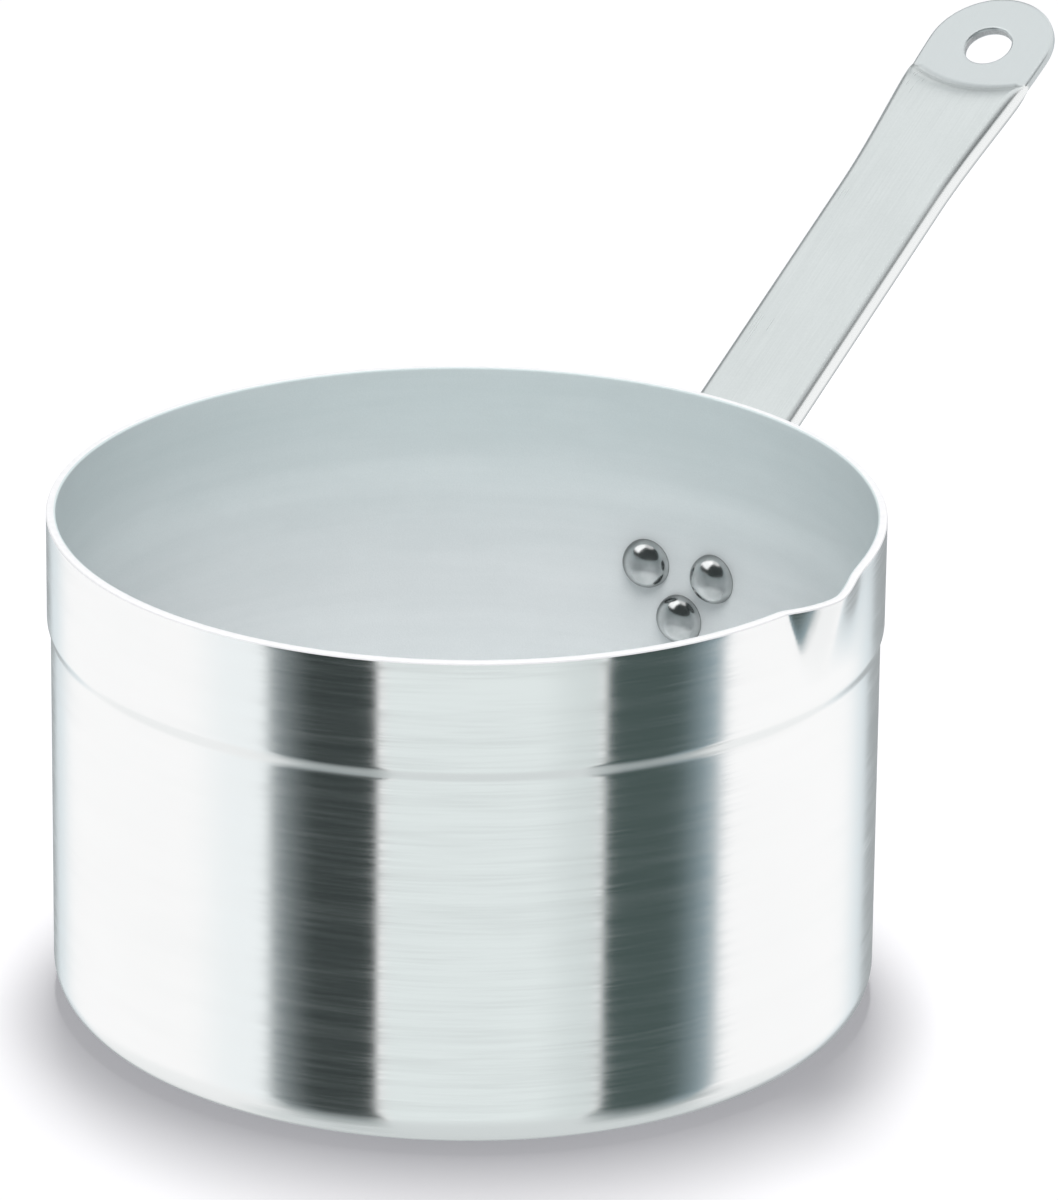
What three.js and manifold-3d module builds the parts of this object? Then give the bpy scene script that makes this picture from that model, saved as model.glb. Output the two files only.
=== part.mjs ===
// A straight-sided aluminium saucepan: a drawn pot with a pouring lip and a flattened tubular
// handle, held to the wall by three rivets. Millimetres, +Z up. The origin is the centre of the
// underside, the handle points along +X and the lip along -Y.
import * as THREE from "three";
import { mergeVertices } from "three/addons/utils/BufferGeometryUtils.js";
import Module from "manifold-3d";

const wasm = await Module();
wasm.setup();

// Pot
const rimRadius = 100; // outside of the band under the rim
const potHeight = 123.5;
const wall = 2.3;
const floorThickness = 3;
const baseCorner = 10; // outside radius between underside and wall
const bandHeight = 26.5; // band under the rim
const stepDepth = 0.9; // how far the wall is drawn in below the band
const stepHeight = 3.8;
const innerStepHeight = 7; // the same step where it shows through, softer, on the inside
const rimRounding = 0.5;

// Pouring lip, pulled out of the rim
const lipReach = 4.6;
const lipWidth = 28.4;
const lipDepth = 22;
const nearNarrowing = 0.5; // share of its width that the lip's near half loses on its way down
const nearBow = 1.6; // 1 for a straight flank, 2 for a full arch
const farBow = 1.2; // the same on the handle's side, where the lip keeps its width
const lipFade = 1.1; // how quickly the lip goes back to the round wall below the rim
const lipTip = 1; // roundness of the spout's point
const nearCrease = 0.1; // softness of the fold where the lip leaves the round wall
const farCrease = 0.5; // the same on the handle's side

// Handle: a tube pressed flat at the foot and at the round end
const handleDrop = 3.4; // from the foot of the band down to the arm's middle line at the wall
const handleRise = THREE.MathUtils.degToRad(29.5);
const armLength = 164; // from the wall to the centre of the round end
const bendRadius = 10;
const tubeWidth = 28.6;
const tubeThickness = 6.4;
const tubeRounding = 2.2;
const swellLength = 14; // from the bend to the full thickness of the tube
const footWidth = 35;
const footThickness = 2.6;
const endRadius = 17.2;
const endThickness = 2.6;
const flareLength = 55; // over which the tube widens to the round end
const pressOffset = 15; // from the centre of the round end back to the edge of the flat
const pressLength = 12; // over which the tube sinks towards that edge
const pressBow = 5; // 1 for a straight slope, more for one that steepens towards the flat
const pressRadius = 32; // of the curved edge of the flat
const hangHole = 12.4;

// Rivets
const rivetLead = 12; // from the bend down to the upper pair
const rivetDrop = 12.9; // from the upper pair down to the lower one
const rivetPitch = 20;
const footMargin = 8.5; // from the lower rivet to the end of the foot
const shankDiameter = 6;
const headDiameter = 12.6;
const headHeight = 4.8;
const tailDiameter = 11;
const tailHeight = 2.4;

// Clearances
const footClearance = 0.3; // between foot plate and wall
const shankClearance = 0.2;
const headClearance = 0.15; // where a flat-backed head comes nearest to a curved face

// Fineness of the facets
const potSegments = 96;
const lipCrowding = 0.6; // how far the pot's segments draw together at the lip
const curveSteps = 3;
const lipRows = 6;
const holeSides = 24;
const domeSteps = 4;
const barAcross = 12;
const roundSteps = 8; // of each rounded end of the handle
const fineSpacing = 1.5; // of the handle's sections where it bends or is pressed
const mediumSpacing = 5; // where it widens
const coarseSpacing = 25; // where it runs straight
const cutOverrun = 5; // how far a hole's cutter runs past the metal

const wallRadius = rimRadius - stepDepth; // outside of the wall below the band
const boreRadius = wallRadius - wall; // inside of the wall below the band

// Turns a closed geometry into a solid that can be joined and cut.
function solidOf(geometry) {
  geometry.deleteAttribute("normal");
  geometry.deleteAttribute("uv");
  const merged = mergeVertices(geometry);
  const vertProperties = merged.getAttribute("position").array;
  const triVerts = new Uint32Array(merged.index.array);
  return new wasm.Manifold(new wasm.Mesh({ numProp: 3, vertProperties, triVerts }));
}

// Turns a solid back into a geometry.
function geometryOf(solid) {
  const { vertProperties, triVerts } = solid.getMesh();
  const geometry = new THREE.BufferGeometry();
  geometry.setAttribute("position", new THREE.BufferAttribute(vertProperties, 3));
  geometry.setIndex(new THREE.BufferAttribute(triVerts, 1));
  geometry.computeVertexNormals();
  return geometry;
}

function namedMesh(name, geometry, color, roughness) {
  const material = new THREE.MeshStandardMaterial({ color, roughness, metalness: 1 });
  const mesh = new THREE.Mesh(geometry, material);
  mesh.name = name;
  return mesh;
}

// The middle line of the handle, measured upward from the start of its bend: first the upright
// foot, then the bend, then the straight arm.
const footRadius = wallRadius + footClearance + footThickness / 2;
const turn = Math.PI / 2 - handleRise;
const bendLength = bendRadius * turn;
const bendTangent = bendRadius * Math.tan(turn / 2);
const footOffset = footRadius - wallRadius;
const exitHeight = potHeight - bandHeight - handleDrop;
const bendHeight = exitHeight + footOffset * Math.tan(handleRise) - bendTangent;
const endStation = bendLength - bendTangent + armLength - footOffset / Math.cos(handleRise);

function middleLine(station) {
  const lean = THREE.MathUtils.clamp(station, 0, bendLength) / bendRadius;
  const below = Math.min(station, 0);
  const beyond = Math.max(station - bendLength, 0);
  return {
    lean,
    reach: footRadius + bendRadius * (1 - Math.cos(lean)) + beyond * Math.sin(lean),
    height: bendHeight + below + bendRadius * Math.sin(lean) + beyond * Math.cos(lean),
  };
}

// Rivet places: the bearing from the handle's own plane, and the height.
const pairHeight = bendHeight - rivetLead;
const pairBearing = rivetPitch / 2 / wallRadius;
const rivetPlaces = [
  { name: "rivet_upper_left", bearing: pairBearing, height: pairHeight },
  { name: "rivet_upper_right", bearing: -pairBearing, height: pairHeight },
  { name: "rivet_lower", bearing: 0, height: pairHeight - rivetDrop },
];

// A round hole through wall and foot for one rivet.
function rivetHole({ bearing, height }) {
  const radius = shankDiameter / 2 + shankClearance;
  const start = boreRadius - cutOverrun;
  const end = footRadius + footThickness / 2 + cutOverrun;
  const hole = new THREE.CylinderGeometry(radius, radius, end - start, holeSides);
  hole.translate(0, (start + end) / 2, 0);
  hole.rotateZ(bearing - Math.PI / 2);
  hole.translate(0, 0, height);
  return solidOf(hole);
}

function cutRivetHoles(solid) {
  return rivetPlaces.reduce((left, place) => left.subtract(rivetHole(place)), solid);
}

// Section of the pot from the middle of the underside, up the outside and down the inside.
function potSection() {
  const bandFoot = potHeight - bandHeight;
  const stepFoot = bandFoot - stepHeight;
  const stepMiddle = bandFoot - stepHeight / 2;
  const innerStepTop = stepMiddle + innerStepHeight / 2;
  const innerStepFoot = stepMiddle - innerStepHeight / 2;
  const bandBore = rimRadius - wall;
  const innerCorner = baseCorner - wall;
  const lipRow = (lipDepth - rimRounding) / lipRows;
  const section = new THREE.Path();
  section.moveTo(0, 0);
  section.lineTo(wallRadius - baseCorner, 0);
  section.absarc(wallRadius - baseCorner, baseCorner, baseCorner, -Math.PI / 2, 0);
  section.lineTo(wallRadius, stepFoot);
  section.bezierCurveTo(wallRadius, stepMiddle, rimRadius, stepMiddle, rimRadius, bandFoot);
  for (let row = 0; row <= lipRows; row++) {
    section.lineTo(rimRadius, potHeight - lipDepth + row * lipRow);
  }
  section.quadraticCurveTo(rimRadius, potHeight, rimRadius - rimRounding, potHeight);
  section.lineTo(bandBore + rimRounding, potHeight);
  section.quadraticCurveTo(bandBore, potHeight, bandBore, potHeight - rimRounding);
  for (let row = 1; row <= lipRows; row++) {
    section.lineTo(bandBore, potHeight - rimRounding - row * lipRow);
  }
  section.lineTo(bandBore, innerStepTop);
  section.bezierCurveTo(bandBore, stepMiddle, boreRadius, stepMiddle, boreRadius, innerStepFoot);
  section.lineTo(boreRadius, floorThickness + innerCorner);
  const cornerMiddle = boreRadius - innerCorner;
  section.absarc(cornerMiddle, floorThickness + innerCorner, innerCorner, 0, -Math.PI / 2, true);
  section.lineTo(0, floorThickness);
  return section.getPoints(curveSteps);
}

// How far the metal is pulled outward at a bearing from the lip and a depth under the rim.
function lipPull(bearing, depth) {
  const left = Math.max(1 - depth / lipDepth, 0);
  const far = bearing > 0;
  const half = (lipWidth / 2) * (far ? 1 : 1 - nearNarrowing * (1 - left));
  const sideways = Math.hypot(bearing * rimRadius, lipTip) - lipTip;
  const share = 1 - (sideways / half) ** (far ? farBow : nearBow);
  const crease = far ? farCrease : nearCrease;
  const bulge = (share + Math.hypot(share, crease)) / (1 + Math.hypot(1, crease));
  return lipReach * left ** lipFade * bulge;
}

// The pot is turned from its section, and the lip is pulled outward from the turned rim.
function potBody() {
  const shell = new THREE.LatheGeometry(potSection(), potSegments);
  shell.rotateX(Math.PI / 2);
  const point = new THREE.Vector3();
  const position = shell.getAttribute("position");
  for (let i = 0; i < position.count; i++) {
    point.fromBufferAttribute(position, i);
    const even = Math.atan2(point.x, -point.y);
    const bearing = even - lipCrowding * Math.sin(even);
    const radius = Math.hypot(point.x, point.y) + lipPull(bearing, potHeight - point.z);
    position.setXYZ(i, radius * Math.sin(bearing), -radius * Math.cos(bearing), point.z);
  }
  return namedMesh("pot_body", geometryOf(cutRivetHoles(solidOf(shell))), 0xd4dadb, 0.35);
}

// Half of the handle's width at a station.
const footTongue = rivetDrop + footMargin; // from the upper pair down to the end of the foot
function halfWidth(station) {
  const { lerp, smoothstep } = THREE.MathUtils;
  const belowPair = Math.max(-rivetLead - station, 0) / footTongue;
  const foot = (footWidth / 2) * Math.sqrt(1 - belowPair ** 2);
  const arm = lerp(foot, tubeWidth / 2, smoothstep(station, -rivetLead, bendLength + swellLength));
  const flared = lerp(arm, endRadius, smoothstep(station, endStation - flareLength, endStation));
  const beyond = Math.max(station - endStation, 0);
  return beyond > 0 ? Math.sqrt(endRadius ** 2 - beyond ** 2) : flared;
}

// Thickness of the handle: the flat foot swells into the tube, which sinks again to a curved edge,
// inside which the round end is flat.
function thicknessAt(station, across) {
  const { clamp, lerp, smoothstep } = THREE.MathUtils;
  const swollen = smoothstep(station, 0, bendLength + swellLength);
  const edge = endStation - pressOffset + across ** 2 / (2 * pressRadius);
  const sunk = clamp((station - edge) / pressLength + 1, 0, 1) ** pressBow;
  return lerp(lerp(footThickness, tubeThickness, swollen), endThickness, sunk);
}

// Places along the handle where its section is set.
function handleStations() {
  const spaced = (from, to, spacing) => {
    const steps = Math.ceil((to - from) / spacing);
    return Array.from({ length: steps }, (_, i) => from + ((to - from) * i) / steps);
  };
  const quarter = (i) => (((i + 0.5) / roundSteps) * Math.PI) / 2;
  const quarters = Array.from({ length: roundSteps }, (_, i) => quarter(i));
  const swollen = bendLength + swellLength;
  const flare = endStation - flareLength;
  const sinking = endStation - pressOffset - pressLength;
  const pressed = endStation - pressOffset + endRadius ** 2 / (2 * pressRadius);
  return [
    ...quarters.map((angle) => -rivetLead - footTongue * Math.cos(angle)),
    ...spaced(-rivetLead, 0, mediumSpacing),
    ...spaced(0, bendLength, fineSpacing),
    ...spaced(bendLength, swollen, mediumSpacing),
    ...spaced(swollen, flare, coarseSpacing),
    ...spaced(flare, sinking, mediumSpacing),
    ...spaced(sinking, pressed, fineSpacing),
    ...spaced(pressed, endStation, mediumSpacing),
    ...quarters.map((angle) => endStation + endRadius * Math.sin(angle)),
  ];
}

// The handle starts as a bar divided along its length and across. Each of its points is moved to
// its place on the bent and flattened tube, whose foot hugs the round wall.
function handle() {
  const stations = handleStations();
  const steps = stations.length - 1;
  const bar = new THREE.BoxGeometry(1, 1, 1, barAcross, 1, steps);
  const position = bar.getAttribute("position");
  for (let i = 0; i < position.count; i++) {
    const station = stations[Math.round((position.getZ(i) + 0.5) * steps)];
    const half = halfWidth(station);
    const across = half * Math.sin(Math.PI * position.getX(i));
    const thickness = thicknessAt(station, across);
    const rounding = (tubeRounding * thickness) / tubeThickness;
    const overEdge = Math.max(Math.abs(across) - half + rounding, 0);
    const drop = rounding - Math.sqrt(Math.max(rounding ** 2 - overEdge ** 2, 0));
    const up = Math.sign(position.getY(i)) * (thickness / 2 - drop);

    const { lean, reach, height } = middleLine(station);
    const hug = (1 - THREE.MathUtils.smoothstep(station, 0, bendLength)) / footRadius;
    const tilt = across * hug;
    const sag = hug > 0 ? (1 - Math.cos(tilt)) / hug : 0;
    const sideways = hug > 0 ? Math.sin(tilt) / hug : across;
    const rise = sag + up * Math.cos(tilt);
    position.setXYZ(
      i,
      reach - rise * Math.cos(lean),
      sideways - up * Math.sin(tilt),
      height + rise * Math.sin(lean),
    );
  }
  const holeLength = endThickness + 2 * cutOverrun;
  const hole = new THREE.CylinderGeometry(hangHole / 2, hangHole / 2, holeLength, holeSides);
  const end = middleLine(endStation);
  hole.rotateX(Math.PI / 2);
  hole.rotateY(-handleRise);
  hole.translate(end.reach, 0, end.height);
  const solid = cutRivetHoles(solidOf(bar)).subtract(solidOf(hole));
  return namedMesh("handle", geometryOf(solid), 0xdde2e2, 0.3);
}

// A rivet runs along a radius of the pot: domed head inside, shank through wall and foot, and the
// closing head outside. Its section is drawn with its distance from the pot's axis.
function rivet({ name, bearing, height }) {
  const headSeat = Math.sqrt(boreRadius ** 2 - (headDiameter / 2) ** 2) - headClearance;
  const tailSeat = footRadius + footThickness / 2 + headClearance;
  const dome = (radius, rise, seat, away) =>
    Array.from({ length: domeSteps + 1 }, (_, i) => {
      const sphere = (radius ** 2 + rise ** 2) / (2 * rise);
      const angle = (i / domeSteps) * Math.acos(1 - rise / sphere);
      const lift = sphere * Math.cos(angle) - sphere + rise;
      return new THREE.Vector2(sphere * Math.sin(angle), seat + away * lift);
    });
  const section = [
    ...dome(headDiameter / 2, headHeight, headSeat, -1),
    new THREE.Vector2(shankDiameter / 2, headSeat),
    new THREE.Vector2(shankDiameter / 2, tailSeat),
    ...dome(tailDiameter / 2, tailHeight, tailSeat, 1).reverse(),
  ];
  const turned = new THREE.LatheGeometry(section, holeSides);
  const mesh = namedMesh(name, geometryOf(solidOf(turned)), 0xb9bfc0, 0.15);
  mesh.rotation.z = bearing - Math.PI / 2;
  mesh.position.z = height;
  return mesh;
}

const saucepan = new THREE.Group();
saucepan.add(potBody(), handle(), ...rivetPlaces.map(rivet));

export default saucepan;
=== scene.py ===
import math

import bpy
from mathutils import Matrix, Vector
from mathutils.geometry import delaunay_2d_cdt


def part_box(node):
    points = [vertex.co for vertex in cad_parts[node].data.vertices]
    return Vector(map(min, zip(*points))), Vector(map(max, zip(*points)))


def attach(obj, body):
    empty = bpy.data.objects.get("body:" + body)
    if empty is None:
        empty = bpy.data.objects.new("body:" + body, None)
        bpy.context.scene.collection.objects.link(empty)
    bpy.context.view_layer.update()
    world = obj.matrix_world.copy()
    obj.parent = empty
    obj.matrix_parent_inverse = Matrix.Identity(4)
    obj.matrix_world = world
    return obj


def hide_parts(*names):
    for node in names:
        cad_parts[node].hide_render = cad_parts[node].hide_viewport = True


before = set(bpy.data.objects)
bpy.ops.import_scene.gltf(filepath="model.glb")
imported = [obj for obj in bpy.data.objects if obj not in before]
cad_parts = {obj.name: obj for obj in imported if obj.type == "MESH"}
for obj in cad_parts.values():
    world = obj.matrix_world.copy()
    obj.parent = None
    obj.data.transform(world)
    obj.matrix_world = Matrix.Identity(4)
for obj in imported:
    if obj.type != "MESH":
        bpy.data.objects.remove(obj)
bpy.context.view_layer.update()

# Pot. One disc of aluminium sheet, drawn and spun into a straight-sided shell. The wall is drawn in
# below a band under the rim, the lip is pulled out of the rim, and the outside is brushed as it turns.
mm = 0.001
rim_radius = 100 * mm  # outside of the band under the rim
pot_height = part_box("pot_body")[1].z
wall = 2.3 * mm
floor_thickness = 3 * mm
base_corner = 10 * mm
band_height = 26.5 * mm
step_depth = 0.9 * mm
step_height = 3.8 * mm
inner_step_height = 11 * mm  # the same step where it shows through, softer, on the inside
rim_rounding = 0.6 * mm
inner_rounding = 0.5 * mm
lip_reach = 4.6 * mm
lip_half_width = 14.2 * mm
lip_depth = 22 * mm
near_narrowing = 0.5  # share of its width that the lip's near half loses on its way down
near_bow = 1.6  # 1 for a straight flank, 2 for a full arch
far_bow = 1.2  # the same on the handle's side, where the lip keeps its width
lip_fade = 1.1  # how quickly the lip goes back to the round wall below the rim
lip_tip = 1 * mm  # roundness of the spout's point
near_crease = 0.1  # softness of the fold where the lip leaves the round wall
far_crease = 0.5  # the same on the handle's side
pot_segments = 360
lip_crowding = 0.6  # how far the segments draw together at the lip
wall_shade = (0.945, 0.949, 0.949, 1)
wall_light = (0.967, 0.97, 0.97, 1)
# the rim's two colours are nearly white: a painted highlight along the rim
rim_highlight_dim = (0.95, 0.955, 0.955, 1)
rim_highlight_full = (0.99, 0.992, 0.992, 1)
inside_shade = (0.782, 0.812, 0.815, 1)
inside_light = (0.843, 0.868, 0.871, 1)
inside_top_painted_shade_dark = (0.695, 0.78, 0.78, 1)  # painted shade under the rim: the inside is darker there, and a little greener
inside_top_painted_shade_pale = (0.755, 0.835, 0.835, 1)
underside_shade = (0.74, 0.75, 0.755, 1)
underside_light = (0.9, 0.905, 0.905, 1)
brush_turn = 0.25  # part of a turn that lays the brush lines round the pot
wall_radius = rim_radius - step_depth
bore_radius = wall_radius - wall


def lerp(first, second, share):
    """From the first value to the second, by a share."""
    return first + (second - first) * share


def soft(value, low, high):
    """0 up to low, 1 from high on, and a soft passage between."""
    share = min(max((value - low) / (high - low), 0), 1)
    return share * share * (3 - 2 * share)


def steps_between(start, stop, count):
    """Even steps from start to stop, without the start."""
    return [start + (stop - start) * (i + 1) / count for i in range(count)]


def arc(centre, radius, start, stop, count):
    """Points on an arc of a section, from one angle in degrees to another."""
    turns = [math.radians(angle) for angle in steps_between(start, stop, count)]
    return [(centre[0] + radius * math.cos(t), centre[1] + radius * math.sin(t)) for t in turns]


def drawn_in(top, bottom, upper, lower, count):
    """The soft step between two radii of the wall, going down."""
    shares = steps_between(0, 1, count)
    return [(lerp(upper, lower, soft(s, 0, 1)), lerp(top, bottom, s)) for s in shares]


def pot_section():
    """Rows of (radius, height, finish) from under the middle, up the outside and down the inside.

    The last number of each run is its count of rows. Finishes count in the order of the materials.
    """
    band_foot = pot_height - band_height
    step_foot = band_foot - step_height
    band_bore = rim_radius - wall
    inner_corner = base_corner - wall
    corner_middle = bore_radius - inner_corner
    rim_top = pot_height - rim_rounding
    lip_foot = pot_height - lip_depth
    underside = [(r, 0) for r in steps_between(0, wall_radius - base_corner, 12)]
    outside = arc((wall_radius - base_corner, base_corner), base_corner, -90, 0, 18)
    outside += [(wall_radius, z) for z in steps_between(base_corner, step_foot, 28)]
    outside += drawn_in(band_foot, step_foot, rim_radius, wall_radius, 16)[-2::-1]
    outside += [(rim_radius, band_foot)]
    outside += [(rim_radius, z) for z in steps_between(band_foot, lip_foot, 5)]
    outside += [(rim_radius, z) for z in steps_between(lip_foot, rim_top, 16)]
    rim = arc((rim_radius - rim_rounding, rim_top), rim_rounding, 0, 90, 8)
    rim += [(band_bore + inner_rounding, pot_height)]
    inner_rim = pot_height - inner_rounding
    inside = arc((band_bore + inner_rounding, inner_rim), inner_rounding, 90, 180, 5)
    inside += [(band_bore, z) for z in steps_between(inner_rim, lip_foot, 16)]
    inner_top = band_foot - step_height / 2 + inner_step_height / 2
    inner_foot = inner_top - inner_step_height
    inside += [(band_bore, z) for z in steps_between(lip_foot, inner_top, 4)]
    inside += drawn_in(inner_top, inner_foot, band_bore, bore_radius, 14)
    inside += [(bore_radius, z) for z in steps_between(inner_foot, floor_thickness + inner_corner, 26)]
    inside += arc((corner_middle, floor_thickness + inner_corner), inner_corner, 0, -90, 14)
    inside += [(r, floor_thickness) for r in steps_between(corner_middle, 0, 12)[:-1]]
    rows = []
    for finish, points in enumerate((underside, outside, rim, inside)):
        rows += [(radius, height, finish) for radius, height in points]
    return rows


def lip_pull(bearing, depth):
    """How far the metal is pulled outward at a bearing from the lip and a depth under the rim."""
    above = max(1 - depth / lip_depth, 0)  # 1 at the rim, 0 at the lip's foot
    narrowing, bow, crease = near_narrowing, near_bow, near_crease
    if bearing > 0:
        narrowing, bow, crease = 0, far_bow, far_crease
    half = lip_half_width * (1 - narrowing * (1 - above))
    sideways = math.hypot(bearing * rim_radius, lip_tip) - lip_tip
    share = 1 - (sideways / half) ** bow
    bulge = (share + math.hypot(share, crease)) / (1 + math.hypot(1, crease))
    return lip_reach * above ** lip_fade * bulge


def closed_mesh(name, points, faces, finishes=None):
    """A smooth-shaded object from points and faces, with an optional finish number for each face."""
    mesh = bpy.data.meshes.new(name)
    mesh.from_pydata(points, [], faces)
    for polygon in mesh.polygons:
        polygon.use_smooth = True
        polygon.material_index = finishes[polygon.index] if finishes else 0
    mesh.validate()
    piece = bpy.data.objects.new(name, mesh)
    bpy.context.scene.collection.objects.link(piece)
    return piece


def turned(name, rings, ring_finishes, start, end):
    """A turned shell from a start on the axis, through rings of points, to an end on the axis."""
    sides = len(rings[0])
    points = [start] + [point for ring in rings for point in ring] + [end]
    faces = [(0, 1 + (j + 1) % sides, 1 + j) for j in range(sides)]
    finishes = [ring_finishes[0]] * sides
    for i in range(len(rings) - 1):
        for j in range(sides):
            a, b = 1 + i * sides + j, 1 + i * sides + (j + 1) % sides
            faces.append((a, b, b + sides, a + sides))
            finishes.append(ring_finishes[i + 1])
    last = 1 + (len(rings) - 1) * sides
    faces += [(last + j, last + (j + 1) % sides, len(points) - 1) for j in range(sides)]
    finishes += [ring_finishes[-1]] * sides
    return closed_mesh(name, points, faces, finishes)


def pot_shell():
    """The pot as turned from its section, with the lip pulled out of the rim."""
    evens = [2 * math.pi * j / pot_segments for j in range(pot_segments)]
    bearings = [even - lip_crowding * math.sin(even) for even in evens]
    section = pot_section()
    rings = []
    for radius, height, finish in section:
        reaches = [radius + lip_pull(math.remainder(b, math.tau), pot_height - height) for b in bearings]
        rings.append([(r * math.sin(b), -r * math.cos(b), height) for r, b in zip(reaches, bearings)])
    finishes = [finish for radius, height, finish in section]
    return turned("pot", rings, finishes, (0, 0, 0), (0, 0, floor_thickness))


class Shade:
    """A socket in a node tree. Sums and products of sockets add Math nodes to the tree."""

    def __init__(self, tree, socket=None):
        self.tree = tree
        self.socket = socket

    def node(self, kind, settings=None, sockets=None, output=0):
        """Adds a node, sets it up, feeds its sockets and returns one of its outputs."""
        made = self.tree.nodes.new(kind)
        for name, value in (settings or {}).items():
            setattr(made, name, value)
        for name, value in (sockets or {}).items():
            if isinstance(value, Shade):
                self.tree.links.new(value.socket, made.inputs[name])
            else:
                made.inputs[name].default_value = value
        return Shade(self.tree, made.outputs[output] if made.outputs else None)

    def math(self, operation, *terms):
        """A Math node on these terms."""
        return self.node("ShaderNodeMath", {"operation": operation}, dict(enumerate(terms)))

    def __add__(self, other):
        return self.math("ADD", self, other)

    def __radd__(self, other):
        return self.math("ADD", other, self)

    def __sub__(self, other):
        return self.math("SUBTRACT", self, other)

    def __rsub__(self, other):
        return self.math("SUBTRACT", other, self)

    def __mul__(self, other):
        return self.math("MULTIPLY", self, other)

    def __rmul__(self, other):
        return self.math("MULTIPLY", other, self)

    def between(self, low, high):
        """0 at low and 1 at high, with a soft passage."""
        sockets = {"Value": self, "From Min": low, "From Max": high}
        return self.node("ShaderNodeMapRange", {"interpolation_type": "SMOOTHSTEP"}, sockets)

    def mix(self, first, second):
        """The first colour where this is 0 and the second where it is 1."""
        sockets = {0: self, 6: first, 7: second}
        return self.node("ShaderNodeMix", {"data_type": "RGBA"}, sockets, output=2)

    def grain(self, per_metre, detail=2.0, roughness=0.5):
        """Noise at this place, with so many features to the metre along each axis."""
        place = self.node("ShaderNodeVectorMath", {"operation": "MULTIPLY"}, {0: self, 1: per_metre})
        sockets = {"Vector": place, "Scale": 1.0, "Detail": detail, "Roughness": roughness}
        return self.node("ShaderNodeTexNoise", {}, sockets)

    def axis(self, number):
        """One of the three coordinates of this place."""
        return self.node("ShaderNodeSeparateXYZ", {}, {0: self}, output=number)

    def bump(self, distance):
        """The normal of a surface with this height, as a share of the distance."""
        return self.node("ShaderNodeBump", {}, {"Strength": 1.0, "Distance": distance, "Height": self})


def new_metal(name):
    """An empty material, and the place on the piece that its nodes start from."""
    material = bpy.data.materials.new(name)
    material.use_nodes = True
    material.node_tree.nodes.clear()
    return material, Shade(material.node_tree).node("ShaderNodeTexCoord", output="Object")


def finish_metal(place, sockets):
    """Ends a material with a metal surface."""
    surface = place.node("ShaderNodeBsdfPrincipled", {}, {"Metallic": 1.0, **sockets})
    place.node("ShaderNodeOutputMaterial", {}, {"Surface": surface})


def brushed_wall():
    """Aluminium brushed round the pot: long fine lines, each at one height."""
    material, place = new_metal("brushed_wall")
    broad = place.grain((9, 9, 260), detail=1.0)
    lines = place.grain((34, 34, 1100), detail=1.0)
    fine = place.grain((60, 60, 2600), detail=1.0)
    clouds = place.grain((14, 14, 22), detail=3.0)
    brush = broad * 0.35 + lines * 0.35 + fine * 0.3
    tone = (brush * 0.4 + clouds * 0.6).between(0.35, 0.65)
    streaks = brush.between(0.35, 0.7)
    sockets = {
        "Base Color": tone.mix(wall_shade, wall_light),
        "Roughness": 0.133 + streaks * 0.085 + clouds * 0.03,
        "Anisotropic": 1.0,
        "Anisotropic Rotation": brush_turn,
        "Normal": brush.bump(0.012 * mm),
    }
    finish_metal(place, sockets)
    return material


def rim_painted_white():
    """The cut edge of the rim, turned and a little nicked, nearly white and matte as a painted
    highlight.
    """
    material, place = new_metal("rim_painted_white")
    marks = place.grain((500, 500, 900), detail=3.0)
    sockets = {
        # near-white matte colour: a painted highlight where the metal would mirror the light
        "Base Color": marks.between(0.3, 0.7).mix(rim_highlight_dim, rim_highlight_full),
        "Metallic": 0.08,
        "Roughness": 0.35 + marks * 0.1,
        "Normal": marks.bump(0.02 * mm),
    }
    finish_metal(place, sockets)
    return material


def matte_inside():
    """The inside, blasted to a fine even matte over faint turned lines, with painted shade that darkens
    it towards the rim.
    """
    material, place = new_metal("matte_inside")
    grit = place.grain((2600, 2600, 2600), detail=2.0)
    clouds = place.grain((18, 18, 30), detail=4.0, roughness=0.6)
    rings = place.grain((12, 12, 150), detail=3.0, roughness=0.6)
    tone = (grit * 0.25 + clouds * 0.4 + rings * 0.35).between(0.34, 0.66)
    upper = tone.mix(inside_top_painted_shade_dark, inside_top_painted_shade_pale)
    lower = tone.mix(inside_shade, inside_light)
    sockets = {
        # painted shade: darker and greener from half height up to the rim
        "Base Color": place.axis(2).between(pot_height, 0.5 * pot_height).mix(upper, lower),
        "Metallic": 0.1,
        "Roughness": 0.5 + clouds * 0.12,
        "Normal": grit.bump(0.03 * mm),
    }
    finish_metal(place, sockets)
    return material


def turned_underside():
    """The underside, faced on a lathe: fine rings, scuffed where the pot slides on the hob."""
    material, place = new_metal("turned_underside")
    x, y = place.axis(0), place.axis(1)
    outward = x.math("SQRT", x * x + y * y)
    ring = place.node("ShaderNodeCombineXYZ", {}, {"X": outward})
    rings = ring.grain((1400, 1, 1), detail=3.0, roughness=0.7)
    scuffs = place.grain((60, 240, 10), detail=5.0, roughness=0.7).between(0.55, 0.8)
    tone = (rings * 0.7 + scuffs * 0.3).between(0.2, 0.8)
    sockets = {
        "Base Color": tone.mix(underside_shade, underside_light),
        "Roughness": 0.24 + rings * 0.08 + scuffs * 0.15,
        "Anisotropic": 0.9,
        "Anisotropic Rotation": brush_turn,
        "Normal": (rings + scuffs * 0.3).bump(0.02 * mm),
    }
    finish_metal(place, sockets)
    return material


pot = pot_shell()
for material in (turned_underside(), brushed_wall(), rim_painted_white(), matte_inside()):
    pot.data.materials.append(material)
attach(pot, "root")
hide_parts("pot_body")

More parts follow.
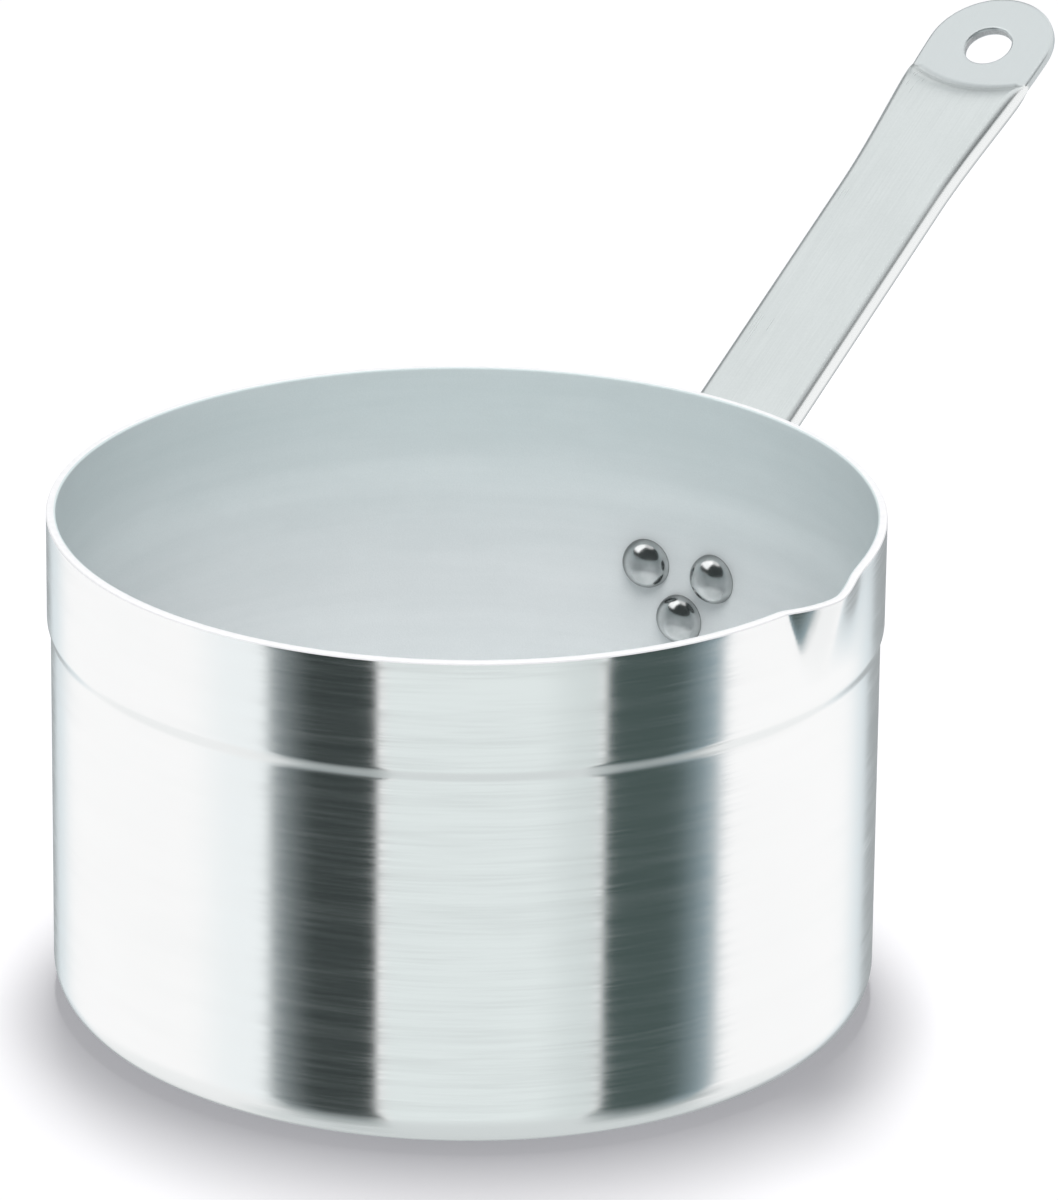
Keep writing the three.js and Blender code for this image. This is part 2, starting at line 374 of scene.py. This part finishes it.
# Handle. A flattened aluminium tube. Its foot is pressed flat, bent upright and curved to the wall,
# and its far end is pressed flat into a round end with a hanging hole. It has a satin finish.
handle_drop = 3.4 * mm  # from the foot of the band down to the arm's middle line at the wall
handle_rise = math.radians(29.5)
arm_length = 164 * mm  # from the wall to the centre of the round end
bend_radius = 10 * mm
tube_width = 28.6 * mm
tube_thickness = 6.4 * mm
tube_rounding = 2.2 * mm
swell_length = 14 * mm  # from the bend to the full thickness of the tube
foot_width = 35 * mm
foot_thickness = 2.6 * mm
foot_clearance = 0.3 * mm
foot_contact = 0.05 * mm  # what is left of the clearance where the foot is drawn to the wall
end_radius = 17.2 * mm
end_thickness = 2.6 * mm
flare_length = 55 * mm  # over which the tube widens to the round end
press_offset = 15 * mm  # from the centre of the round end back to the edge of the flat
press_length = 12 * mm  # over which the tube sinks towards that edge
press_bow = 5  # 1 for a straight slope, more for one that steepens towards the flat
press_radius = 32 * mm  # of the curved edge of the flat
hang_hole = 12.4 * mm
hole_rounding = 0.6 * mm
rivet_lead = 12 * mm  # from the bend down to the upper pair of rivets
rivet_drop = 12.9 * mm  # from the upper pair down to the lower rivet
rivet_pitch = 20 * mm
foot_margin = 8.5 * mm  # from the lower rivet to the end of the foot
rivet_hole = 6.4 * mm
rivet_hole_sides = 24
hang_hole_sides = 72
edge_steps = 6
edge_flat = 0.4 * mm  # flat strip beside each rounded edge
column_width = 1.5 * mm
side_columns = 11  # columns of points on each side of the middle line
row_margin = 0.5 * mm
clearing = 0.9985  # share of a hole's ring that is left open
press_softness = 1 * mm
wear_length = 0.9 * arm_length  # back from the centre of the round end, over which the edges are worn
wear_fade = 0.1 * arm_length
wear_width = 1 * mm
edge_shade_start = 0.5 * mm  # under the middle of the tube, from where the worn edge darkens with painted shade
edge_shade_full = 1.5 * mm
satin_shade = (0.65, 0.695, 0.69, 1)
satin_light = (0.735, 0.78, 0.775, 1)
pressed_grey = (0.66, 0.708, 0.713, 1)
worn_bright = (0.9, 0.915, 0.915, 1)
edge_shade_grey = (0.54, 0.557, 0.56, 1)
torn_shade = (0.55, 0.575, 0.575, 1)
torn_light = (0.7, 0.72, 0.72, 1)
foot_radius = wall_radius + foot_clearance + foot_thickness / 2
foot_tongue = rivet_drop + foot_margin
bend_turn = math.pi / 2 - handle_rise
bend_length = bend_radius * bend_turn
bend_tangent = bend_radius * math.tan(bend_turn / 2)
foot_offset = foot_radius - wall_radius
exit_height = pot_height - band_height - handle_drop
bend_height = exit_height + foot_offset * math.tan(handle_rise) - bend_tangent
end_station = bend_length - bend_tangent + arm_length - foot_offset / math.cos(handle_rise)
pair_bearing = rivet_pitch / 2 / wall_radius
rivet_places = {
    "rivet_upper_left": (pair_bearing, bend_height - rivet_lead),
    "rivet_upper_right": (-pair_bearing, bend_height - rivet_lead),
    "rivet_lower": (0, bend_height - rivet_lead - rivet_drop),
}


def half_width(station):
    """Half of the handle's width at a distance along it from the start of the bend."""
    below = min(max(-rivet_lead - station, 0) / foot_tongue, 1)
    foot = foot_width / 2 * math.sqrt(1 - below * below)
    arm = lerp(foot, tube_width / 2, soft(station, -rivet_lead, bend_length + swell_length))
    beyond = min(max(station - end_station, 0), end_radius)
    flared = lerp(arm, end_radius, soft(station, end_station - flare_length, end_station))
    return math.sqrt(end_radius * end_radius - beyond * beyond) if beyond else flared


def thickness(station, across):
    """Thickness of the handle: the flat foot, the swollen tube, and the flat inside a curved edge."""
    edge = end_station - press_offset + across * across / (2 * press_radius)
    tube = lerp(foot_thickness, tube_thickness, soft(station, 0, bend_length + swell_length))
    sunk = min(max((station - edge) / press_length + 1, 0), 1)
    return lerp(tube, end_thickness, sunk ** press_bow)


def on_handle(station, across, up):
    """The point of the bent handle at a station, a distance across and a height over its middle."""
    lean = min(max(station, 0), bend_length) / bend_radius
    beyond = max(station - bend_length, 0)
    reach = foot_radius + bend_radius * (1 - math.cos(lean)) + beyond * math.sin(lean)
    height = bend_height + min(station, 0) + bend_radius * math.sin(lean) + beyond * math.cos(lean)
    hug = (1 - soft(station, 0, bend_length)) / foot_radius
    if up > 0:
        up += (foot_clearance - foot_contact) * hug * foot_radius * up / (foot_thickness / 2)
    tilt = across * hug
    sag = (1 - math.cos(tilt)) / hug if hug else 0
    sideways = math.sin(tilt) / hug if hug else across
    rise = sag + up * math.cos(tilt)
    return (
        reach - rise * math.cos(lean),
        sideways - up * math.sin(tilt),
        height + rise * math.sin(lean),
    )


def handle_outline():
    """The handle's outline, laid flat, as (station, across), once round."""
    side = [-rivet_lead - foot_tongue * math.cos(math.radians(a)) for a in range(3, 91, 3)]
    side += steps_between(-rivet_lead, 0, 8)
    side += steps_between(0, bend_length, 14)
    side += steps_between(bend_length, end_station - flare_length, 50)
    press = end_station - press_offset
    side += steps_between(end_station - flare_length, press, 26)
    side += steps_between(press, end_station - press_offset / 3, 32)
    side += steps_between(end_station - press_offset / 3, end_station, 4)
    edge = [(station, half_width(station)) for station in side]
    tip = [(end_station + end_radius * math.cos(t), end_radius * math.sin(t))
           for t in (math.radians(a) for a in range(87, -1, -3))]
    half = edge + tip
    return half + [(s, -a) for s, a in half[-2::-1]] + [(-rivet_lead - foot_tongue, 0)]


def circle(station, across, radius, sides):
    """A round hole in the flat outline, run the other way round than the outline."""
    turns = [math.tau * i / sides for i in range(sides)]
    return [(station + radius * math.cos(t), across + radius * math.sin(t)) for t in turns]


def outward_of(loop):
    """For each point of a loop, the direction away from the metal."""
    normals = []
    for i in range(len(loop)):
        before, after = Vector(loop[i - 1]), Vector(loop[(i + 1) % len(loop)])
        along = (after - before).normalized()
        normals.append(Vector((-along.y, along.x)))
    return normals


def round_edge(station, across, away, rounding, full):
    """The rounded edge at one point of a loop, from the lower sheet to the upper one."""
    turns = [math.pi / 2 * i / edge_steps for i in range(edge_steps + 1)]
    half = [(rounding * (1 - math.cos(t)), full / 2 - rounding * (1 - math.sin(t))) for t in turns]
    half.append((rounding + edge_flat, full / 2))
    edge = []
    for inset, level in [(i, -up) for i, up in reversed(half)] + half:
        place = (station - away.x * inset, across - away.y * inset)
        edge.append((*place, level * thickness(*place) / full))
    return edge


def flat_rows():
    """Stations of the rows of points between the edges, each with its share of the curved press edge."""
    swollen = bend_length + swell_length
    press = end_station - press_offset
    lead = press - press_length
    plain = lead - 2 * press_length
    rows = [(s, 0) for s in steps_between(-rivet_lead - foot_tongue, 0, 18)]
    rows += [(s, 0) for s in steps_between(0, bend_length, 14)]
    rows += [(s, 0) for s in steps_between(bend_length, swollen, 8)]
    rows += [(s, 0) for s in steps_between(swollen, plain, 12)]
    rows += [(s, soft(s, plain, lead)) for s in steps_between(plain, lead, 14)]
    rows += [(s, 1) for s in steps_between(lead, press - press_length / 3, 8)]
    rows += [(s, 1) for s in steps_between(press - press_length / 3, press, 16)]
    rows += [(s, 1) for s in steps_between(press, end_station + end_radius, 18)]
    return rows


def handle_bar():
    """The handle: two sheets over the flat outline, joined round every edge by a rounded collar."""
    holes = []
    for bearing, height in rivet_places.values():
        holes.append(((height - bend_height, bearing * foot_radius), rivet_hole / 2, rivet_hole_sides))
    holes.append(((end_station, 0), hang_hole / 2, hang_hole_sides))
    rings = [(Vector(middle), radius + hole_rounding + edge_flat) for middle, radius, _ in holes]

    def off_holes(point):
        """Whether a point of the flat outline lies clear of every hole's ring."""
        return all((point - middle).length > clearing * radius for middle, radius in rings)

    loops = [(handle_outline(), None)]
    loops += [(circle(*middle, radius, sides), hole_rounding) for middle, radius, sides in holes]
    hang_first = sum(len(loop) for loop, _ in loops[:-1])
    flat, edges, collars = [], [], []
    for loop, rounding in loops:
        first = len(flat)
        for (station, across), away in zip(loop, outward_of(loop)):
            full = thickness(station, across)
            edge_rounding = rounding or tube_rounding * full / tube_thickness
            collar = round_edge(station, across, away, edge_rounding, full)
            collars.append(collar[1:-1])
            flat.append(collar[-1][:2])
        edges += [(first + i, first + (i + 1) % len(loop)) for i in range(len(loop))]
    rims = [Vector(point) for point in flat]
    for station, bow in flat_rows():
        for column in range(-side_columns, side_columns + 1):
            across = column * column_width
            point = Vector((station + bow * across * across / (2 * press_radius), across))
            from_rim = min((point - rim).length for rim in rims)
            if abs(across) < half_width(point.x) and from_rim > row_margin and off_holes(point):
                flat.append(point[:])
    inside_only = 1  # leaves out the triangles outside the outline
    weld = 1e-6
    in_mm = [Vector(point) / mm for point in flat]
    _, _, triangles, sources, _, _ = delaunay_2d_cdt(in_mm, edges, [], inside_only, weld)
    faces = []
    for triangle in triangles:
        corners = [sources[i][0] for i in triangle]
        if off_holes(sum((Vector(flat[i]) for i in corners), Vector((0, 0))) / 3):
            faces += [corners, [i + len(flat) for i in reversed(corners)]]
    shell = [on_handle(s, a, face * thickness(s, a) / 2) for face in (1, -1) for s, a in flat]
    chains = []
    for i, collar in enumerate(collars):
        chains.append([len(flat) + i, *range(len(shell), len(shell) + len(collar)), i])
        shell += [on_handle(*point) for point in collar]
    satin, punched = 0, 1
    hole_wall = edge_steps + 1  # strip of a collar between its two rounded edges
    finishes = [satin] * len(faces)
    for a, b in edges:
        for low in range(len(chains[a]) - 1):
            faces.append((chains[a][low], chains[a][low + 1], chains[b][low + 1], chains[b][low]))
            finishes.append(punched if a >= hang_first and low == hole_wall else satin)
    return closed_mesh("handle_bar", shell, faces, finishes)


def satin_bar():
    """Satin aluminium: faint lines along the arm, edges worn bright, and painted shade on those edges
    below the middle.
    """
    material, place = new_metal("satin_bar")
    cos, sin = math.cos(handle_rise), math.sin(handle_rise)
    along = place.axis(0) * cos + place.axis(2) * sin
    over = place.axis(2) * cos - place.axis(0) * sin
    across = place.axis(1)
    lengthwise = place.node("ShaderNodeCombineXYZ", {}, {"X": along, "Y": across, "Z": over})
    lines = lengthwise.grain((35, 2200, 2200), detail=3.0, roughness=0.6)
    grit = place.grain((1500, 1500, 1500), detail=2.0)
    clouds = place.grain((35, 35, 35), detail=4.0, roughness=0.6)
    middle = on_handle(end_station, 0, 0)
    from_end = along - (middle[0] * cos + middle[2] * sin)
    flare = from_end.between(-flare_length, 0.0)
    inward = across.math("ABSOLUTE", across) - flare * (end_radius - tube_width / 2)
    from_press = from_end - across * across * (0.5 / press_radius)
    pressed = from_press.between(-press_offset, press_softness - press_offset)
    on_arm = from_end.between(-wear_length, wear_fade - wear_length)
    worn = inward.between(tube_width / 2 - wear_width, tube_width / 2) * (1 - pressed) * on_arm
    below = middle[2] * cos - middle[0] * sin - over
    # painted shade on the worn edges, under the tube's middle
    edge_shade = below.between(edge_shade_start, edge_shade_full) * worn
    tone = lines * 0.4 + grit * 0.2 + clouds * 0.4
    colour = tone.between(0.3, 0.7).mix(satin_shade, satin_light)
    colour = (pressed * 0.8).mix(colour, pressed_grey)
    colour = worn.mix(colour, worn_bright)
    sockets = {
        "Base Color": edge_shade.mix(colour, edge_shade_grey),
        "Metallic": 0.65 + worn * 0.35,
        "Roughness": 0.22 + clouds * 0.1 + lines * 0.05 - worn * 0.05,
        "Normal": (lines * 0.6 + grit * 0.4).bump(0.012 * mm),
    }
    finish_metal(place, sockets)
    return material


def punched_edge():
    """The wall of the hanging hole, torn dull by the punch."""
    material, place = new_metal("punched_edge")
    tears = place.grain((2500, 2500, 500), detail=3.0, roughness=0.7)
    sockets = {
        "Base Color": tears.between(0.3, 0.7).mix(torn_shade, torn_light),
        "Metallic": 0.35,
        "Roughness": 0.45 + tears * 0.2,
        "Normal": tears.bump(0.05 * mm),
    }
    finish_metal(place, sockets)
    return material


handle = handle_bar()
for material in (satin_bar(), punched_edge()):
    handle.data.materials.append(material)
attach(handle, "root")
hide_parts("handle")

# Rivets. Three solid aluminium rivets through wall and foot. Each has a polished domed head inside
# the pot, and a flatter head outside that was closed on the foot with a hammer or press.
head_radius = 6.3 * mm
head_height = 4.8 * mm
head_flat = 0.2 * mm  # radius of the small flat on top of the inner head
head_rows = 14
tail_radius = 5.5 * mm
tail_height = 2.4 * mm
tail_flat = 2.4 * mm  # radius of the flat that the closing tool leaves on the outer head
tail_rows = 12
shank_radius = 3 * mm
rivet_contact = 0.03 * mm  # what is left open under each head
rivet_sides = 64
head_shade_aside = 0.2 * head_radius  # the middle of a head that the painted shade leaves clear lies this far beside its axis
head_shade_up = 0.1 * head_radius  # and this far above it
head_shade_start = 0.78 * head_radius
head_shade_full = 1.05 * head_radius
polish_shade = (0.5, 0.515, 0.515, 1)
polish_light = (0.64, 0.65, 0.65, 1)
head_shade_dark = (0.14, 0.147, 0.147, 1)


def domed(radius, rise, flat, count):
    """Section of a head, as (radius, height), from its flat top over the dome to its edge."""
    rows = []
    for i in range(count + 1):
        turn = math.pi / 2 * i / count
        rows.append((flat + (radius - flat) * math.sin(turn), rise * math.cos(turn)))
    return rows


def rivet(name, bearing, height):
    """One rivet along a radius of the pot. Its heads lie on the curved faces of wall and foot."""
    inner = bore_radius - rivet_contact
    outer = foot_radius + foot_thickness / 2 + rivet_contact
    head = [(r, inner, -up) for r, up in domed(head_radius, head_height, head_flat, head_rows)]
    shank = [(shank_radius, inner, 0), (shank_radius, outer, 0)]
    tail = [(r, outer, up) for r, up in domed(tail_radius, tail_height, tail_flat, tail_rows)[::-1]]
    turn = Matrix.Rotation(bearing, 3, "Z")
    lift = Vector((0, 0, height))
    rings = []
    for radius, seat, away in head + shank + tail:
        ring = []
        for j in range(rivet_sides):
            side = radius * math.cos(math.tau * j / rivet_sides)
            up = radius * math.sin(math.tau * j / rivet_sides)
            outward = math.sqrt(seat * seat - side * side) + away
            ring.append((turn @ Vector((outward, side, up)) + lift)[:])
        rings.append(ring)
    start = turn @ Vector((inner - head_height, 0, 0)) + lift
    end = turn @ Vector((outer + tail_height, 0, 0)) + lift
    return turned(name, rings, [0] * len(rings), start[:], end[:])


def polished_head(name, bearing, height):
    """Polished aluminium with hair-fine marks of use, and painted shade towards the edge of each head,
    most on one side and below.
    """
    material, place = new_metal(name)
    hairs = place.grain((900, 2600, 2600), detail=4.0, roughness=0.7)
    clouds = place.grain((260, 260, 260), detail=3.0)
    # painted shade: darker towards the edge of each head, more on one side and below
    side = place.axis(1) * math.cos(bearing) - place.axis(0) * math.sin(bearing) + head_shade_aside
    up = place.axis(2) - height - head_shade_up
    from_spot = side.math("SQRT", side * side + up * up)
    head_shade = from_spot.between(head_shade_start, head_shade_full)
    colour = clouds.between(0.3, 0.7).mix(polish_shade, polish_light)
    sockets = {
        "Base Color": head_shade.mix(colour, head_shade_dark),
        "Roughness": 0.1 + clouds * 0.1 + hairs * 0.06,
        "Normal": (hairs * 0.4 + clouds * 0.6).bump(0.015 * mm),
    }
    finish_metal(place, sockets)
    return material


for name, (bearing, height) in rivet_places.items():
    piece = rivet(name + "_head", bearing, height)
    piece.data.materials.append(polished_head(name + "_metal", bearing, height))
    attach(piece, "root")
    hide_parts(name)

# Floor. A plain pale sheet under the pot, white to the camera, with the pot's shadow on it. The metal
# shows the studio's own floor cloth in its place.
floor_half = 6.0
floor_gap = 0.1 * mm  # keeps the sheet and the underside apart
floor_colour = (0.9, 0.895, 0.9, 1)
floor_glow = (0.19, 0.193, 0.193, 1)


def pale_sheet():
    """Matte white, with a faint glow that only the camera sees."""
    material = bpy.data.materials.new("pale_sheet")
    material.use_nodes = True
    material.node_tree.nodes.clear()
    sheet = Shade(material.node_tree)
    seen = sheet.node("ShaderNodeLightPath", output="Is Camera Ray")
    matte = sheet.node("ShaderNodeBsdfDiffuse", {}, {"Color": floor_colour})
    glow = sheet.node("ShaderNodeEmission", {}, {"Color": floor_glow, "Strength": 1.0})
    lit = sheet.node("ShaderNodeAddShader", {}, {0: matte, 1: glow})
    surface = sheet.node("ShaderNodeMixShader", {}, {0: seen, 1: matte, 2: lit})
    sheet.node("ShaderNodeOutputMaterial", {}, {"Surface": surface})
    return material


corners = [(x * floor_half, y * floor_half, -floor_gap) for x, y in ((-1, -1), (1, -1), (1, 1), (-1, 1))]
floor = closed_mesh("floor", corners, [(0, 1, 2, 3)])
floor.data.materials.append(pale_sheet())
floor.visible_glossy = False

# Studio. A white tent with a grey front, a dark gap with a hazy edge on each side of it, curtains at the
# back, cloths near the floor and one softbox. Only the metal shows them, as bands, lines and highlights.
# Bearings are in degrees from +X, and heights in degrees over the horizon.
tent_white = (1, 1, 1, 1)
softbox = (1.8, 1.8, 1.8, 1)
tent_front = (0.8, 0.86, 0.855, 1)
tent_fold = (0.69, 0.75, 0.745, 1)
tent_tint = (0.89, 0.93, 0.94, 1)
tent_ledge = (0.5, 0.54, 0.535, 1)
tent_floor = (0.66, 0.7, 0.7, 1)
ledge_grey = (0.36, 0.4, 0.4, 1)
ledge_pale = (0.89, 0.905, 0.905, 1)
left_dark = (0.036, 0.046, 0.045, 1)
left_haze = (0.27, 0.31, 0.32, 1)
right_dark = (0.058, 0.085, 0.081, 1)
right_haze = (0.3, 0.39, 0.43, 1)
curtain_pale = (0.74, 0.81, 0.84, 1)
curtain_grey = (0.36, 0.385, 0.395, 1)
curtain_dark = (0.05, 0.06, 0.06, 1)
camera_side = (0.06, 0.07, 0.07, 1)
room_light = (0.26, 0.257, 0.275, 1)
bounced_light = (0.37, 0.37, 0.41, 1)
full_turn = 360
# each cloth: bearings from and to, softness of its two ends, heights from and to, softness there, colour
cloths = (
    # front and sides of the tent, mirrored by the wall
    (190.5, 251.4, 2, 2, -120, 45, 10, tent_front),
    (232, 251.4, 16, 2, -120, 45, 10, tent_fold),
    (190.5, 251.4, 2, 2, -8, 45, 6, tent_ledge),
    (130, 160, 18, 2, -46, 50, 6, tent_tint),
    # curtains behind the pot, mirrored at the wall's outline and by the handle's edges
    (-17, 74, 16, 14, -120, 0, 10, curtain_pale),
    (0, 57, 6, 8, -120, 0, 10, curtain_grey),
    (18, 50, 6, 8, -2, 36, 5, curtain_dark),
    (50, 88, 8, 8, 2, 40, 6, curtain_dark),
    (32, 62, 6, 8, 38, 54, 4, curtain_grey),
    # low cloths, mirrored by the step and the base corner
    (-180, 180, 0, 0, -120, -46, 6, tent_floor),
    (50, 150, 10, 4, -60, -34, 4, ledge_pale),
    (300, 360, 4, 10, -56, -34, 4, ledge_pale),
    (146, 184, 6, 3, -66, -40, 4, ledge_grey),
    (264, 305, 3, 6, -64, -38, 4, ledge_grey),
    # gaps beside the front, mirrored by the wall as its two dark bands
    (157, 190.5, 3, 2, -46, 50, 6, left_haze),
    (156.2, 190.5, 16, 2, -46, 50, 6, left_dark),
    (251.4, 290, 2, 4, -46, 50, 6, right_haze),
    (251.4, 290, 2, 18, -46, 50, 6, right_dark),
    # dark room behind the camera and a softbox in it, mirrored by the rivets
    (270, 302, 8, 8, 20, 52, 6, camera_side),
    (100, 292, 14, 15, 16, 72, 6, camera_side),
    (96, 152, 6, 6, 33, 74, 4, softbox),
)


def white_tent():
    """The world: the cloths for mirrored rays, white for the camera, and an even light for the rest."""
    world = bpy.data.worlds.new("white_tent")
    bpy.context.scene.world = world
    world.use_nodes = True
    world.node_tree.nodes.clear()
    air = Shade(world.node_tree)
    toward = air.node("ShaderNodeTexCoord", output="Generated")
    x, y, z = (toward.axis(i) for i in range(3))
    bearing = x.math("ARCTAN2", y, x) * math.degrees(1)
    height = z.math("ARCSINE", z) * math.degrees(1)

    def past(start):
        """Bearing counted from a start, from -180 to 180."""
        return bearing.math("WRAP", bearing - start, 180.0, -180.0)

    colour = tent_white
    for start, stop, soft_in, soft_out, low, high, soft_level, cloth in cloths:
        cover = height.between(low - soft_level, low + soft_level)
        cover = cover * height.between(high + soft_level, high - soft_level)
        if stop - start < full_turn:
            cover = cover * past(start).between(0.0, soft_in) * past(stop).between(0.0, -soft_out)
        colour = cover.mix(colour, cloth)
    rays = ("Is Camera Ray", "Is Glossy Ray", "Is Transmission Ray", "Diffuse Depth")
    seen, mirrored, through, bounces = (air.node("ShaderNodeLightPath", output=ray) for ray in rays)
    bounced = bounces.math("GREATER_THAN", bounces, 0.5)
    colour = mirrored.mix(room_light, bounced.mix(colour, bounced_light))
    colour = (seen + through).mix(colour, tent_white)
    shine = air.node("ShaderNodeBackground", {}, {"Color": colour, "Strength": 1.0})
    air.node("ShaderNodeOutputWorld", {}, {"Surface": shine})


white_tent()

# Lights. A long soft lamp hangs over the pot and behind it, and gives the floor its soft shadow. Two
# broad ones light the inside of the pot, one from the camera's side and a weaker one from behind.
light_bearing = math.radians(33)
lamp_level = 0.73  # share of the light on a level white sheet
lamp_height = 2.2
lamp_back = 0.31  # from over the pot to the lamp's middle
lamp_across = 0.38
lamp_along = 0.9
fill_level = 0.74  # share of the light on a white sheet that faces the lamp
rear_level = 0.28
fill_width = math.radians(40)
fill_height = math.radians(61)
fill_bearing = math.radians(28)


def group_of(name, pieces):
    """A collection of pieces, for a lamp to light or be shaded by."""
    group = bpy.data.collections.new(name)
    for piece in pieces:
        group.objects.link(piece)
    return group


def lamp(name, kind, energy, place, toward, lit):
    """A lamp at a place, facing a direction, for some pieces only. The metal does not mirror it."""
    data = bpy.data.lights.new(name, kind)
    data.energy = energy
    piece = bpy.data.objects.new(name, data)
    bpy.context.scene.collection.objects.link(piece)
    piece.location = place
    piece.rotation_mode = "QUATERNION"
    piece.rotation_quaternion = toward.to_track_quat("-Z", "Y")
    piece.visible_glossy = False
    piece.light_linking.receiver_collection = group_of(name + "_lit", lit)
    return piece


back = Vector((math.cos(light_bearing), math.sin(light_bearing), 0))
overhead = back * lamp_back + Vector((0, 0, lamp_height))
lamp_power = lamp_level * (math.pi * overhead.length_squared / lamp_height) ** 2
top_lamp = lamp("top_lamp", "AREA", lamp_power, overhead, Vector((0, 0, -1)), (floor, handle))
top_lamp.rotation_quaternion = Matrix.Rotation(light_bearing - math.pi / 2, 3, "Z").to_quaternion()
top_lamp.data.shape = "RECTANGLE"
top_lamp.data.size = lamp_across
top_lamp.data.size_y = lamp_along
top_lamp.light_linking.blocker_collection = group_of("top_lamp_shade", (pot,))
fill_over = Vector((math.cos(fill_bearing), math.sin(fill_bearing), 0)) * math.cos(fill_height)
fill_down = Vector((0, 0, -math.sin(fill_height)))
fills = {
    "fill_lamp": (fill_level, fill_down + fill_over),
    "rear_lamp": (rear_level, fill_down - fill_over),
}
for name, (level, way) in fills.items():
    lamp(name, "SUN", level * math.pi, (0, 0, 0), way, (pot,)).data.angle = fill_width

# Camera. It stands across the pot from the handle, with the lip on its right, and looks down into the
# pot through a long lens.
view_bearing = math.radians(33)  # of the line of sight, from +X
view_drop = math.radians(21.325)
view_roll = math.radians(0.637)
view_distance = 2.1
view_target = Vector((8.18, -12.6, 100.0)) * mm
view_lens = 263.84  # in millimetres, as is the sensor
view_sensor = 36
camera_data = bpy.data.cameras.new("camera")
camera_data.lens = view_lens
camera_data.sensor_width = view_sensor
camera = bpy.data.objects.new("camera", camera_data)
bpy.context.scene.collection.objects.link(camera)
level_way = Vector((math.cos(view_bearing), math.sin(view_bearing), 0))
ahead = level_way * math.cos(view_drop) - Vector((0, 0, math.sin(view_drop)))
roll = Matrix.Rotation(view_roll, 3, "Z").to_quaternion()
camera.location = view_target - ahead * view_distance
camera.rotation_mode = "QUATERNION"
camera.rotation_quaternion = ahead.to_track_quat("-Z", "Y") @ roll
bpy.context.scene.camera = camera
bpy.context.scene.view_settings.view_transform = "Standard"
